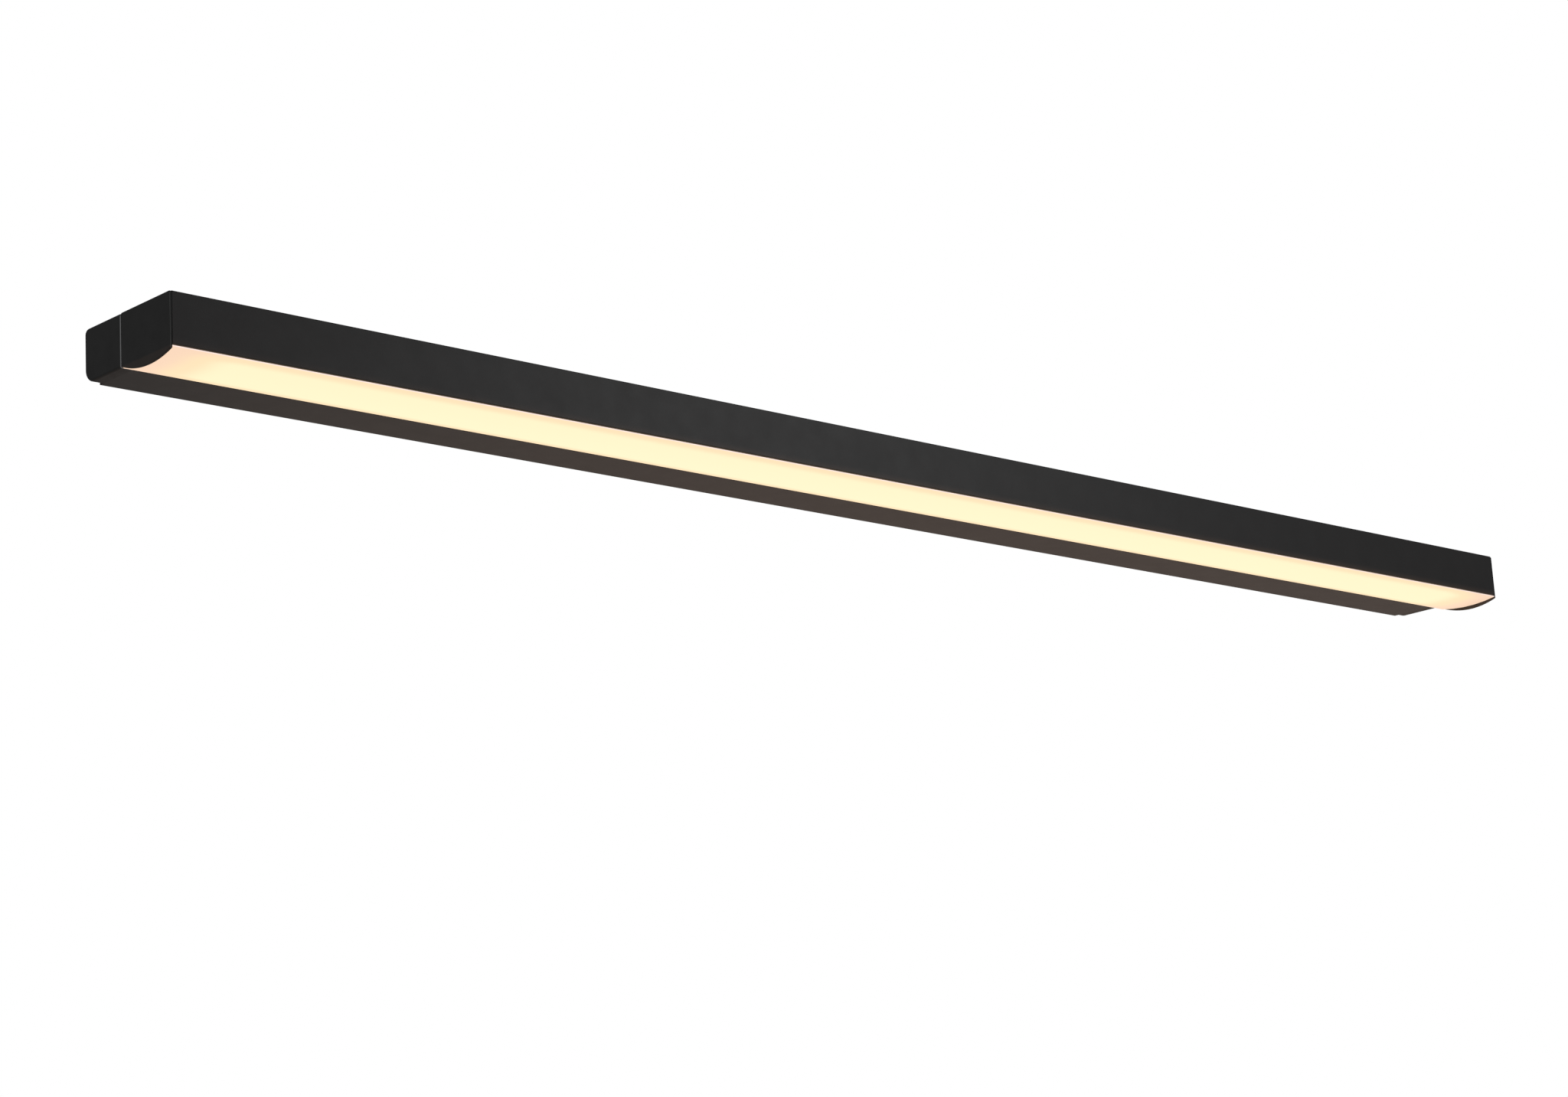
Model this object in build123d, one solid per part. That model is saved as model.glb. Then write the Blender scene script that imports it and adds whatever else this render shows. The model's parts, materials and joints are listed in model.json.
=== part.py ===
"""Vanity light bar: a slim wall-mounted LED bar for above a bathroom mirror.

A shallow rear channel holds the LED driver and the mains terminals and hangs on a steel
wall bracket. A light head is screwed along the front of the channel. Its LEDs face down
through a convex opal diffuser.

Frame: X runs along the bar, +Y points into the wall and +Z up. The origin is at the
centre of the wall bracket's back face, level with the middle of the head's height.
All sizes are in millimetres.
"""
import os

from build123d import *

# Overall sizes
HEAD_LENGTH = 1000.0  # light head, over its end caps
BODY_HEIGHT = 26.0  # top face to underside, without the diffuser's bulge
HEAD_DEPTH = 41.0  # light head, front to back
REAR_DEPTH = 30.5  # rear channel and the gap to the wall
REAR_SHORTFALL = 8.5  # the rear channel stops this far short of the head's right end
REAR_DROP = 0.5  # the rear channel's underside below the head's

# Walls and gaps
CHANNEL_WALL = 2.0
CHANNEL_WALL_GAP = 2.5  # shadow gap between the channel and the wall
HEAD_WALL = 1.8
TRAY_THICKNESS = 2.0  # strip inside the head that carries the LED boards
TRAY_GROOVE = 0.6  # how far the tray reaches into the head's walls
TRAY_CLEARANCE = 0.1
EDGE_RADIUS = 0.5  # outer edges of the two extrusions

# End caps
HEAD_CAP_THICKNESS = 1.0
HEAD_CAP_EDGE = 0.6
HEAD_CAP_CORNER = 1.2
REAR_CAP_THICKNESS = 6.5
REAR_CAP_EDGE = 1.2  # around its outer face
REAR_CAP_SEAM_CORNER = 1.5  # top corner against the head
REAR_CAP_TOP_CORNER = 3.0  # against the wall
REAR_CAP_BOTTOM_CORNER = 6.5  # against the wall
SPIGOT_LENGTH = 10.0
SPIGOT_WALL = 1.6
SPIGOT_CLEARANCE = 0.15
GASKET_THICKNESS = 0.3
GASKET_RECESS = 0.4  # the gasket stays back from the outer faces
LIP_FRONT_DROP = 1.3  # end-cap lip below the underside, at the front
LIP_LOWEST_DROP = 4.5
LIP_LOWEST_OFFSET = 1.5  # its lowest point, in front of the head's middle

# Diffuser
SHADOW_GAP = 0.4  # between the head's walls and the diffuser
DIFFUSER_SET_BACK = 0.2  # from the head's front and back faces
DIFFUSER_EDGE = 0.5  # thickness at its long edges
DIFFUSER_DROP = 2.4  # underside of the bar to the lowest line of the diffuser
DIFFUSER_END_CLEARANCE = 0.3
LEG_THICKNESS = 1.2
LEG_HEIGHT = 4.8
BARB_HEIGHT = 1.1
RIB_DEPTH = 1.3
RIB_HEIGHT = 1.0
CLIP_CLEARANCE = 0.2
SEAL_HEIGHT = 1.2

# LED boards
BOARD_WIDTH = 16.0
BOARD_THICKNESS = 1.6
BOARD_GAP = 20.0  # between the two boards, where the wires come through
BOARD_END_MARGIN = 12.0
PAD_THICKNESS = 0.3
CHIPS_PER_BOARD = 40
CHIP_LENGTH = 2.8
CHIP_WIDTH = 3.5
CHIP_HEIGHT = 0.8
BOARD_SCREW_STEPS = (4, 20, 36)  # in chips from the board's inner end
LINK_OVERLAP = 4.0
LINK_WIDTH = 3.0
LINK_HEIGHT = 2.5
CONNECTOR_LENGTH = 8.0
CONNECTOR_HEIGHT = 4.7
CONNECTOR_SIDE = 0.4  # beside each wire

# Reflectors beside the LED boards
REFLECTOR_THICKNESS = 0.8
REFLECTOR_FOOT_MARGIN = 3.1  # from the foot's outer edge to the head's wall
REFLECTOR_BOARD_CLEARANCE = 0.6
REFLECTOR_LEG_CLEARANCE = 0.3
REFLECTOR_DIFFUSER_CLEARANCE = 1.0
REFLECTOR_END_CLEARANCE = 1.0

# Wall bracket
BRACKET_END_INSET = 35.0  # from the channel's right end
BRACKET_SHEET = 1.5
FLANGE_DRIVER_CLEARANCE = 0.8
BRACKET_CLEARANCE = 0.4  # under the bottom flange; the bar hangs on the top one
WALL_SLOT_INSET = 50.0  # from the bracket's ends
WALL_SLOT_LENGTH = 12.0
WALL_SLOT_WIDTH = 4.6
CABLE_ENTRY_X = 35.0
CABLE_ENTRY_RADIUS = 4.5
GROMMET_LIP = 1.5
GROMMET_WALL = 1.5

# Screws: radius of the thread, head radius, head height
M3_RADIUS = 1.5
M3_HEAD_RADIUS = 2.75
M3_HEAD_HEIGHT = 2.0
M3_CLEARANCE_RADIUS = 1.7
M4_RADIUS = 2.0
M4_HEAD_RADIUS = 3.5
M4_HEAD_HEIGHT = 2.6
M4_CLEARANCE_RADIUS = 2.2
SLOT_WIDTH = 0.8
SLOT_DEPTH = 0.9
FIXING_SCREW_END_INSET = 150.0  # from the bracket's ends
FIXING_SCREW_DEPTH_INSET = 4.0  # from the channel's open edge
FIXING_HEAD_RADIUS = 2.8
FIXING_HEAD_SINK = 0.1
JOINT_SCREW_END_INSET = 68.0  # from the ends of the head's extrusion
JOINT_HEAD_CLEARANCE = 0.3  # under the channel's top wall
JOINT_SCREW_MIDDLE_X = (-75.0, 200.0)
NUT_WIDTH = 7.0
NUT_THICKNESS = 2.8
NUT_CLEARANCE = 0.1

# Mains terminals
TERMINAL_X = -53.0
TERMINAL_LENGTH = 18.0
TERMINAL_DEPTH = 14.0
POLE_PITCH = 5.4
POLE_COUNT = 3
SLEEVE_RADIUS = 2.2
SLEEVE_BORE = 1.4
SLEEVE_LENGTH = 14.0
TERMINAL_SCREW_RADIUS = 1.4
TERMINAL_SCREW_PITCH = 8.0
TERMINAL_SCREW_SINK = 1.0

# Cable clamp
CLAMP_X = -20.0
CLAMP_LENGTH = 8.0
CLAMP_SIDE_CLEARANCE = 1.5  # to the channel's top and bottom walls
CLAMP_CABLE_RADIUS = 3.0
CLAMP_WALL = 1.5  # left under and over the cable
CLAMP_SCREW_PITCH = 11.0

# LED driver
DRIVER_X = -200.0
DRIVER_LENGTH = 180.0
DRIVER_SIDE_CLEARANCE = 1.2  # to the channel's top and bottom walls
DRIVER_DEPTH = 15.0
DRIVER_WALL = 1.2
COVER_THICKNESS = 1.2
COVER_RIM = 2.0
COVER_CLEARANCE = 0.15
EAR_LENGTH = 8.0
EAR_WIDTH = 10.0
EAR_THICKNESS = 2.5
RAIL_HEIGHT = 2.0
RAIL_WIDTH = 1.6
PCB_CLEARANCE = 0.3
PCB_END_CLEARANCE = 1.5
DRIVER_TERMINAL_LENGTH = 12.0
DRIVER_TERMINAL_WIDTH = 12.0
DRIVER_TERMINAL_HEIGHT = 8.0
DRIVER_BOARD_THICKNESS = 1.6

# Parts on the driver's board. Each place is a share of the driver's length from its middle
TRANSFORMER_PLACE = -0.10
TRANSFORMER_LENGTH = 18.0
TRANSFORMER_HEIGHT = 9.0
TRANSFORMER_WIDTH = 10.0
CORE_LEG = 2.0  # ferrite under and over the winding
WINDING_LENGTH = 10.0
WINDING_WIDTH = 12.0
CAPACITOR_PLACES = (0.17, -0.32)
CAPACITOR_RADIUS = 4.0
CAPACITOR_LENGTH = 15.0
CAPACITOR_ROUNDING = 0.6
CHOKE_PLACE = 0.275
CHOKE_RADIUS = 5.5
CHOKE_HOLE_RADIUS = 2.2
CHOKE_HEIGHT = 5.0
SMALL_PART_Z = 3.0  # of the small parts that stand above or below the middle
FILM_CAPACITOR = (0.367, 12.0, 8.5, 5.0)  # place, length, height, width
RECTIFIER = (0.067, 8.0, 2.4, 5.0)
TRANSISTOR = (0.067, 6.0, 3.2, 4.0)
CONTROLLER = (-0.21, 7.0, 2.0, 4.0)

# Wires
MAINS_WIRE_RADIUS = 0.9
LED_WIRE_RADIUS = 0.6
WIRE_HOLE_CLEARANCE = 0.1
WIRE_HEIGHT = 8.0  # of the wiring above the channel's floor
MAINS_WIRE_STRAIGHT = 10.0  # run outside each terminal before it bends
MAINS_WIRE_BEND = 20.0
EARTH_WIRE_STRAIGHT = 5.0
EARTH_WIRE_BEND = 6.0
LED_WIRE_STRAIGHT = 6.0
LED_WIRE_BENDS = (12.0, 6.5, 7.0, 4.0, 4.0)
DRIVER_POLE_Z = 3.0
LED_WIRE_PITCH = 2.5
LED_WIRE_OFFSET = 6.0  # first LED wire, behind the head's middle
GROMMET_X = -318.0
GROMMET_PITCH = 5.0
WIRE_GROMMET_FLANGE = 1.0
WIRE_GROMMET_FLANGE_THICKNESS = 0.8
HEAD_WIRE_HEIGHT = 3.9  # above the tray
WIRE_DROP_X = -3.0

# Earth lug
LUG_X = -98.0
LUG_THICKNESS = 0.8
LUG_RING_RADIUS = 4.0
LUG_TONGUE = 1.0  # between the ring and the barrel
LUG_BARREL_RADIUS = 1.6
LUG_BARREL_LENGTH = 8.0

# Levels and places that follow from the sizes above
TOP_Z = BODY_HEIGHT / 2
UNDERSIDE_Z = -BODY_HEIGHT / 2
REAR_BOTTOM_Z = UNDERSIDE_Z - REAR_DROP
SEAM_Y = -REAR_DEPTH
FRONT_Y = SEAM_Y - HEAD_DEPTH
HEAD_MIDDLE_Y = SEAM_Y - HEAD_DEPTH / 2
CHANNEL_FLOOR_Y = SEAM_Y + CHANNEL_WALL
HEAD_LEFT_X = -HEAD_LENGTH / 2
HEAD_RIGHT_X = HEAD_LENGTH / 2
REAR_RIGHT_X = HEAD_RIGHT_X - REAR_SHORTFALL
CHANNEL_LEFT_X = HEAD_LEFT_X + REAR_CAP_THICKNESS
CHANNEL_RIGHT_X = REAR_RIGHT_X - REAR_CAP_THICKNESS
PROFILE_HALF_LENGTH = HEAD_LENGTH / 2 - HEAD_CAP_THICKNESS - GASKET_THICKNESS
HEAD_INNER_HALF = HEAD_DEPTH / 2 - HEAD_WALL
JOINT_SCREW_Z = TOP_Z - CHANNEL_WALL - JOINT_HEAD_CLEARANCE - M4_HEAD_RADIUS
TRAY_TOP_Z = JOINT_SCREW_Z - NUT_WIDTH / 2 - NUT_CLEARANCE
TRAY_BOTTOM_Z = TRAY_TOP_Z - TRAY_THICKNESS
BOARD_TOP_Z = TRAY_BOTTOM_Z - PAD_THICKNESS
BOARD_BOTTOM_Z = BOARD_TOP_Z - BOARD_THICKNESS
BOARD_INNER_X = BOARD_GAP / 2
BOARD_LENGTH = PROFILE_HALF_LENGTH - BOARD_END_MARGIN - BOARD_INNER_X
CHIP_PITCH = BOARD_LENGTH / CHIPS_PER_BOARD
HEAD_WIRE_Z = TRAY_TOP_Z + HEAD_WIRE_HEIGHT
WIRE_DROP_Z = BOARD_BOTTOM_Z - CONNECTOR_HEIGHT / 2
PROFILE_BOTTOM_Z = UNDERSIDE_Z + SHADOW_GAP
LEG_TOP_Z = UNDERSIDE_Z + LEG_HEIGHT
RIB_INNER_HALF = HEAD_INNER_HALF - RIB_DEPTH
RIB_TOP_Z = LEG_TOP_Z - BARB_HEIGHT - CLIP_CLEARANCE
LEG_OUTER_HALF = RIB_INNER_HALF - CLIP_CLEARANCE
LEG_INNER_HALF = LEG_OUTER_HALF - LEG_THICKNESS
REFLECTOR_INNER_HALF = BOARD_WIDTH / 2 + REFLECTOR_BOARD_CLEARANCE
REFLECTOR_OUTER_HALF = LEG_INNER_HALF - REFLECTOR_LEG_CLEARANCE - REFLECTOR_THICKNESS
REFLECTOR_FOOT_HALF = HEAD_INNER_HALF - REFLECTOR_FOOT_MARGIN
REFLECTOR_BOTTOM_Z = UNDERSIDE_Z + REFLECTOR_DIFFUSER_CLEARANCE
BRACKET_HALF_LENGTH = CHANNEL_RIGHT_X - BRACKET_END_INSET
WALL_SLOT_X = BRACKET_HALF_LENGTH - WALL_SLOT_INSET
FIXING_SCREW_X = BRACKET_HALF_LENGTH - FIXING_SCREW_END_INSET
JOINT_SCREW_END_X = PROFILE_HALF_LENGTH - JOINT_SCREW_END_INSET
JOINT_SCREW_XS = (-JOINT_SCREW_END_X, *JOINT_SCREW_MIDDLE_X, JOINT_SCREW_END_X)
CLAMP_HALF_DEPTH = CLAMP_CABLE_RADIUS + CLAMP_WALL
CLAMP_SPLIT_Y = CHANNEL_FLOOR_Y + CLAMP_HALF_DEPTH
CLAMP_TOP_Y = CLAMP_SPLIT_Y + CLAMP_HALF_DEPTH
CLAMP_HALF_SPAN = TOP_Z - CHANNEL_WALL - CLAMP_SIDE_CLEARANCE
DRIVER_WIDTH = BODY_HEIGHT - 2 * CHANNEL_WALL - 2 * DRIVER_SIDE_CLEARANCE
DRIVER_LEFT_X = DRIVER_X - DRIVER_LENGTH / 2
DRIVER_RIGHT_X = DRIVER_X + DRIVER_LENGTH / 2
DRIVER_OPEN_Y = CHANNEL_FLOOR_Y + DRIVER_DEPTH
FLANGE_Y = DRIVER_OPEN_Y + COVER_THICKNESS + FLANGE_DRIVER_CLEARANCE
PCB_BOTTOM_Y = CHANNEL_FLOOR_Y + DRIVER_WALL + RAIL_HEIGHT
PCB_TOP_Y = PCB_BOTTOM_Y + DRIVER_BOARD_THICKNESS
WIRE_Y = CHANNEL_FLOOR_Y + WIRE_HEIGHT
LED_WIRE_FIRST_Y = HEAD_MIDDLE_Y + LED_WIRE_OFFSET
LED_WIRE_YS = (LED_WIRE_FIRST_Y, LED_WIRE_FIRST_Y - LED_WIRE_PITCH)
GROMMET_XS = (GROMMET_X, GROMMET_X - GROMMET_PITCH)
LUG_BARREL_X = LUG_X + LUG_RING_RADIUS + LUG_TONGUE
LUG_MOUTH_X = LUG_BARREL_X + LUG_BARREL_LENGTH


# Helpers
def block(x_limits, y_limits, z_limits):
    """A box between a low and a high limit along each axis."""
    lows, highs = zip(x_limits, y_limits, z_limits)
    middle = [(low + high) / 2 for low, high in zip(lows, highs)]
    size = [high - low for low, high in zip(lows, highs)]
    return Pos(*middle) * Box(*size)


def rectangle(y_limits, z_limits):
    """A rectangle in the bar's cross-section."""
    middle_y = sum(y_limits) / 2
    middle_z = sum(z_limits) / 2
    return Pos(middle_y, middle_z) * Rectangle(y_limits[1] - y_limits[0], z_limits[1] - z_limits[0])


def along_bar(section, x_start, x_end):
    """Extrude a cross-section from one X to another."""
    return extrude(Plane.YZ.offset(x_start) * section, x_end - x_start)


def rod(start, end, radius):
    """A round rod between two points."""
    axis = Vector(*end) - Vector(*start)
    return extrude(Plane(origin=start, z_dir=axis) * Circle(radius), axis.length)


def mirrored_in_head(y_offset_limits, z_limits):
    """The same rectangle at both sides of the head's middle plane."""
    low, high = y_offset_limits
    rear = rectangle((HEAD_MIDDLE_Y + low, HEAD_MIDDLE_Y + high), z_limits)
    front = rectangle((HEAD_MIDDLE_Y - high, HEAD_MIDDLE_Y - low), z_limits)
    return rear + front


def wire(points, radii, wire_radius):
    """A round wire along straight runs that are joined by arcs."""
    path = FilletPolyline(*points, radius=radii)
    start = Plane(origin=path @ 0, z_dir=path % 0)
    return sweep(start * Circle(wire_radius), path=path)


def pan_screw(seat, direction, length, radius, head_radius, head_height):
    """A slotted pan-head screw. Its head sits on `seat` and its thread runs along `direction`."""
    way = Vector(*direction)
    seat_point = Vector(*seat)
    crown = seat_point - way * head_height
    head = rod(crown, seat_point, head_radius)
    shank = rod(seat_point, seat_point + way * length, radius)
    driver_slot = Plane(origin=crown, z_dir=way) * Box(2 * head_radius, SLOT_WIDTH, 2 * SLOT_DEPTH)
    return head + shank - driver_slot


def as_group(pieces):
    """Separate pieces that share one node."""
    return Compound(children=list(pieces))


# Rear channel and its wall bracket
def fixing_screw_places():
    """Where the fixing screws' axes cross the bar's top face."""
    y = -CHANNEL_WALL_GAP - FIXING_SCREW_DEPTH_INSET
    return [(x, y, TOP_Z) for x in (-FIXING_SCREW_X, FIXING_SCREW_X)]


def joint_screw_places():
    """Where the screws that carry the head meet the channel's floor."""
    return [(x, CHANNEL_FLOOR_Y, JOINT_SCREW_Z) for x in JOINT_SCREW_XS]


def driver_screw_places():
    """Where the driver's ears are screwed down: seat on the ear."""
    y = CHANNEL_FLOOR_Y + EAR_THICKNESS
    left = DRIVER_LEFT_X - EAR_LENGTH / 2
    right = DRIVER_RIGHT_X + EAR_LENGTH / 2
    return [(left, y, 0), (right, y, 0)]


def clamp_screw_places():
    """Where the cable clamp's screw heads sit on its saddle."""
    return [(CLAMP_X, CLAMP_TOP_Y, side * CLAMP_SCREW_PITCH / 2) for side in (-1, 1)]


def earth_screw_place():
    """Where the earth screw's head sits on the lug."""
    return (LUG_X, CHANNEL_FLOOR_Y + LUG_THICKNESS, -POLE_PITCH)


def wire_passage(x_middle, clearance, y_limits):
    """The round-ended slot through which both LED wires pass, along Y."""
    height = LED_WIRE_RADIUS * 2 + 2 * GROMMET_WALL + 2 * clearance
    outline = SlotCenterToCenter(GROMMET_PITCH, height)
    start = Plane(origin=(x_middle, y_limits[0], HEAD_WIRE_Z), x_dir=(1, 0, 0), z_dir=(0, 1, 0))
    return extrude(start * outline, y_limits[1] - y_limits[0])


def fixing_countersink(place, clearance):
    """The cone under a fixing screw's head, grown by a clearance."""
    radius = FIXING_HEAD_RADIUS + clearance
    depth = radius - M3_RADIUS
    x, y, z = place
    return Pos(x, y, z - depth / 2) * Cone(M3_RADIUS, radius, depth)


def make_rear_channel():
    """Aluminium channel, open towards the wall."""
    outer = rectangle((SEAM_Y, -CHANNEL_WALL_GAP), (REAR_BOTTOM_Z, TOP_Z))
    inner_z = (REAR_BOTTOM_Z + CHANNEL_WALL, TOP_Z - CHANNEL_WALL)
    inner = rectangle((CHANNEL_FLOOR_Y, -CHANNEL_WALL_GAP), inner_z)
    channel = along_bar(outer - inner, CHANNEL_LEFT_X, CHANNEL_RIGHT_X)
    front_edges = channel.edges().filter_by(Axis.X).group_by(Axis.Y)[0]
    channel = fillet(front_edges, EDGE_RADIUS)
    for x, y, z in fixing_screw_places():
        channel -= rod((x, y, z), (x, y, z - CHANNEL_WALL), M3_CLEARANCE_RADIUS)
        channel -= fixing_countersink((x, y, z), M3_CLEARANCE_RADIUS - M3_RADIUS)
    for x, y, z in joint_screw_places():
        channel -= rod((x, y, z), (x, SEAM_Y, z), M4_CLEARANCE_RADIUS)
    threaded = driver_screw_places() + clamp_screw_places() + [earth_screw_place()]
    for x, _, z in threaded:
        channel -= rod((x, CHANNEL_FLOOR_Y, z), (x, SEAM_Y, z), M3_RADIUS)
    return channel - wire_passage(sum(GROMMET_XS) / 2, 0, (SEAM_Y, CHANNEL_FLOOR_Y))


def make_wall_bracket():
    """Folded steel bracket: a back plate and two flanges inside the channel."""
    top = TOP_Z - CHANNEL_WALL
    bottom = REAR_BOTTOM_Z + CHANNEL_WALL + BRACKET_CLEARANCE
    outer = rectangle((FLANGE_Y, 0), (bottom, top))
    inner_z = (bottom + BRACKET_SHEET, top - BRACKET_SHEET)
    inner = rectangle((FLANGE_Y, -BRACKET_SHEET), inner_z)
    bracket = along_bar(outer - inner, -BRACKET_HALF_LENGTH, BRACKET_HALF_LENGTH)
    wall_edges = bracket.edges().filter_by(Axis.X).group_by(Axis.Y)[-1]
    bracket = fillet(wall_edges, BRACKET_SHEET / 2)
    slot = SlotOverall(WALL_SLOT_LENGTH, WALL_SLOT_WIDTH)
    for x in (-WALL_SLOT_X, WALL_SLOT_X):
        back = Plane(origin=(x, -BRACKET_SHEET, 0), x_dir=(1, 0, 0), z_dir=(0, 1, 0))
        bracket -= extrude(back * slot, BRACKET_SHEET)
    bracket -= rod((CABLE_ENTRY_X, 0, 0), (CABLE_ENTRY_X, -BRACKET_SHEET, 0), grommet_neck_radius())
    for x, y, _ in fixing_screw_places():
        bracket -= rod((x, y, top), (x, y, top - BRACKET_SHEET), M3_RADIUS)
    return bracket


def grommet_neck_radius():
    """Outer radius of the cable grommet where it passes the bracket."""
    return CABLE_ENTRY_RADIUS + GROMMET_WALL


def make_cable_grommet():
    """Rubber ring that lines the bracket's cable hole, flush with the wall face."""
    neck = rod((CABLE_ENTRY_X, 0, 0), (CABLE_ENTRY_X, -BRACKET_SHEET, 0), grommet_neck_radius())
    lip_front = -BRACKET_SHEET - GROMMET_LIP
    lip_radius = grommet_neck_radius() + GROMMET_LIP
    lip = rod((CABLE_ENTRY_X, -BRACKET_SHEET, 0), (CABLE_ENTRY_X, lip_front, 0), lip_radius)
    bore = rod((CABLE_ENTRY_X, 0, 0), (CABLE_ENTRY_X, lip_front, 0), CABLE_ENTRY_RADIUS)
    return neck + lip - bore


def make_fixing_screws():
    """Countersunk screws through the channel's top wall into the bracket."""
    length = CHANNEL_WALL + BRACKET_SHEET
    screws = []
    for x, y, z in fixing_screw_places():
        sunk = (x, y, z - FIXING_HEAD_SINK)
        head = fixing_countersink(sunk, 0)
        shank = rod(sunk, (x, y, z - length), M3_RADIUS)
        slot = Pos(*sunk) * Box(2 * FIXING_HEAD_RADIUS, SLOT_WIDTH, SLOT_DEPTH)
        screws.append(head + shank - slot)
    return as_group(screws)


def make_rear_cap(outer_x, inward):
    """End cap of the rear channel. `inward` is +1 on the left cap and -1 on the right."""
    section = rectangle((SEAM_Y, 0), (REAR_BOTTOM_Z, TOP_Z))
    inner_x = outer_x + inward * REAR_CAP_THICKNESS
    cap = along_bar(section, min(outer_x, inner_x), max(outer_x, inner_x))
    corners = cap.edges().filter_by(Axis.X)
    seam_bottom, seam_top = corners.group_by(Axis.Y)[0].sort_by(Axis.Z)
    wall_bottom, wall_top = corners.group_by(Axis.Y)[-1].sort_by(Axis.Z)
    cap = fillet(wall_top, REAR_CAP_TOP_CORNER)
    cap = fillet(edge_like(cap, wall_bottom), REAR_CAP_BOTTOM_CORNER)
    cap = fillet(edge_like(cap, seam_top), REAR_CAP_SEAM_CORNER)
    cap = fillet(edge_like(cap, seam_bottom), EDGE_RADIUS)
    outer_face = cap.faces().filter_by(Axis.X).sort_by(Axis.X)[0 if inward > 0 else -1]
    cap = fillet(outer_face.edges(), REAR_CAP_EDGE)
    reach = inner_x + inward * SPIGOT_LENGTH
    y_limits = (CHANNEL_FLOOR_Y + SPIGOT_CLEARANCE, -CHANNEL_WALL_GAP)
    inset = CHANNEL_WALL + SPIGOT_CLEARANCE
    z_limits = (REAR_BOTTOM_Z + inset, TOP_Z - inset)
    spigot = rectangle(y_limits, z_limits)
    hollow_z = (z_limits[0] + SPIGOT_WALL, z_limits[1] - SPIGOT_WALL)
    spigot -= rectangle((y_limits[0] + SPIGOT_WALL, 0), hollow_z)
    return cap + along_bar(spigot, min(inner_x, reach), max(inner_x, reach))


def edge_like(solid, edge):
    """The solid's edge that lies where `edge` lay before the last fillet."""
    return solid.edges().sort_by_distance(edge.center())[0]


# Light head
def make_head_profile():
    """Aluminium extrusion, open below, with a groove for the tray and a clip rib in each wall."""
    section = rectangle((FRONT_Y, SEAM_Y), (PROFILE_BOTTOM_Z, TOP_Z))
    inner_y = (HEAD_MIDDLE_Y - HEAD_INNER_HALF, HEAD_MIDDLE_Y + HEAD_INNER_HALF)
    section -= rectangle(inner_y, (PROFILE_BOTTOM_Z, TOP_Z - HEAD_WALL))
    groove_z = (TRAY_BOTTOM_Z, TRAY_TOP_Z + TRAY_CLEARANCE)
    section -= mirrored_in_head((HEAD_INNER_HALF, HEAD_INNER_HALF + TRAY_GROOVE), groove_z)
    section += mirrored_in_head((RIB_INNER_HALF, HEAD_INNER_HALF), (RIB_TOP_Z - RIB_HEIGHT, RIB_TOP_Z))
    profile = along_bar(section, -PROFILE_HALF_LENGTH, PROFILE_HALF_LENGTH)
    front_bottom = profile.edges().filter_by(Axis.X).group_by(Axis.Z)[0].sort_by(Axis.Y)[0]
    profile = fillet(front_bottom, EDGE_RADIUS)
    top_edges = profile.edges().filter_by(Axis.X).group_by(Axis.Z)[-1]
    profile = fillet(top_edges, EDGE_RADIUS)
    back_inside = SEAM_Y - HEAD_WALL
    for x, _, z in joint_screw_places():
        profile -= rod((x, SEAM_Y, z), (x, back_inside, z), M4_CLEARANCE_RADIUS)
    return profile - wire_passage(sum(GROMMET_XS) / 2, 0, (back_inside, SEAM_Y))


def make_led_tray():
    """Aluminium strip across the head: the LED boards hang below it, the wires lie above it."""
    half = HEAD_INNER_HALF + TRAY_GROOVE - TRAY_CLEARANCE
    section = rectangle((HEAD_MIDDLE_Y - half, HEAD_MIDDLE_Y + half), (TRAY_BOTTOM_Z, TRAY_TOP_Z))
    tray = along_bar(section, -PROFILE_HALF_LENGTH, PROFILE_HALF_LENGTH)
    for x in board_screw_xs():
        tray -= rod((x, HEAD_MIDDLE_Y, TRAY_BOTTOM_Z), (x, HEAD_MIDDLE_Y, TRAY_TOP_Z), M3_RADIUS)
    return tray - tray_wire_hole()


def tray_wire_hole():
    """The hole in the tray where the LED wires come down between the boards."""
    margin = LED_WIRE_RADIUS + GROMMET_WALL
    x_limits = (WIRE_DROP_X - margin, WIRE_DROP_X + margin)
    y_limits = (LED_WIRE_YS[-1] - margin, LED_WIRE_YS[0] + margin)
    return block(x_limits, y_limits, (TRAY_BOTTOM_Z, TRAY_TOP_Z))


def cap_section():
    """Outline of the head's end cap, with the curved lip below the diffuser."""
    rear_bottom = (SEAM_Y, UNDERSIDE_Z)
    front_bottom = (FRONT_Y, UNDERSIDE_Z - LIP_FRONT_DROP)
    lowest = (HEAD_MIDDLE_Y - LIP_LOWEST_OFFSET, UNDERSIDE_Z - LIP_LOWEST_DROP)
    lip = ThreePointArc(front_bottom, lowest, rear_bottom)
    sides = Polyline(rear_bottom, (SEAM_Y, TOP_Z), (FRONT_Y, TOP_Z), front_bottom)
    return make_face(Curve() + [lip, sides])


def make_head_cap(outer_x, inward):
    """Thin end cap of the light head, with a spigot in the wire space."""
    inner_x = outer_x + inward * HEAD_CAP_THICKNESS
    cap = along_bar(cap_section(), min(outer_x, inner_x), max(outer_x, inner_x))
    top_edges = cap.edges().filter_by(Axis.X).group_by(Axis.Z)[-1]
    cap = fillet(top_edges, HEAD_CAP_CORNER)
    outer_face = cap.faces().filter_by(Axis.X).sort_by(Axis.X)[0 if inward > 0 else -1]
    cap = fillet(outer_face.edges(), HEAD_CAP_EDGE)
    reach = inner_x + inward * (GASKET_THICKNESS + SPIGOT_LENGTH)
    return cap + along_bar(head_spigot(SPIGOT_CLEARANCE), min(inner_x, reach), max(inner_x, reach))


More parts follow.
